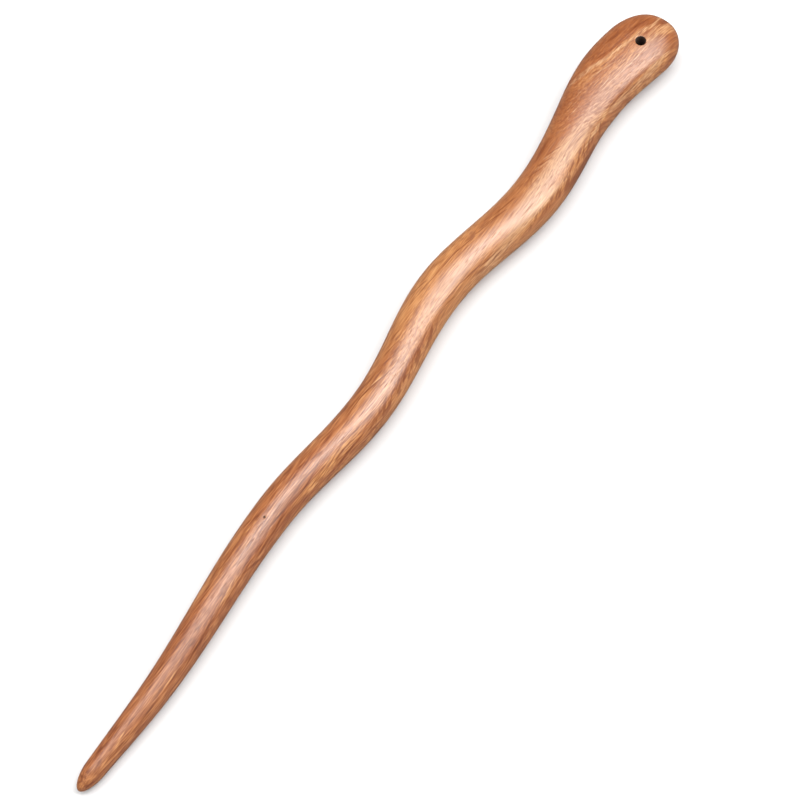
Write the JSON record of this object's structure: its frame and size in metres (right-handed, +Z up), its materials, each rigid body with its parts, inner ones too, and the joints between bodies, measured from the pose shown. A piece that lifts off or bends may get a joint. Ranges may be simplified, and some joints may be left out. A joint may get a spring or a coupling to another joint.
{
  "type": "hair stick",
  "caption": "Wavy wooden hair stick with a blunt tip, a thickening shank that swings from side to side, and a flattened, round-nosed head with a small hole through it.",
  "frame": {"origin": "middle of the stick's length and width, on the surface that it lies on", "axes": "+X along the stick from the tip towards the nose of the head, +Y to the left looking that way, +Z up"},
  "size_m": [0.18, 0.0142, 0.0086],
  "materials": {
    "wood": "reddish tan hardwood with darker streaks along the stick, sanded and polished to a satin sheen"
  },
  "bodies": {
    "root": {"stick": "wood"}
  },
  "joints": []
}
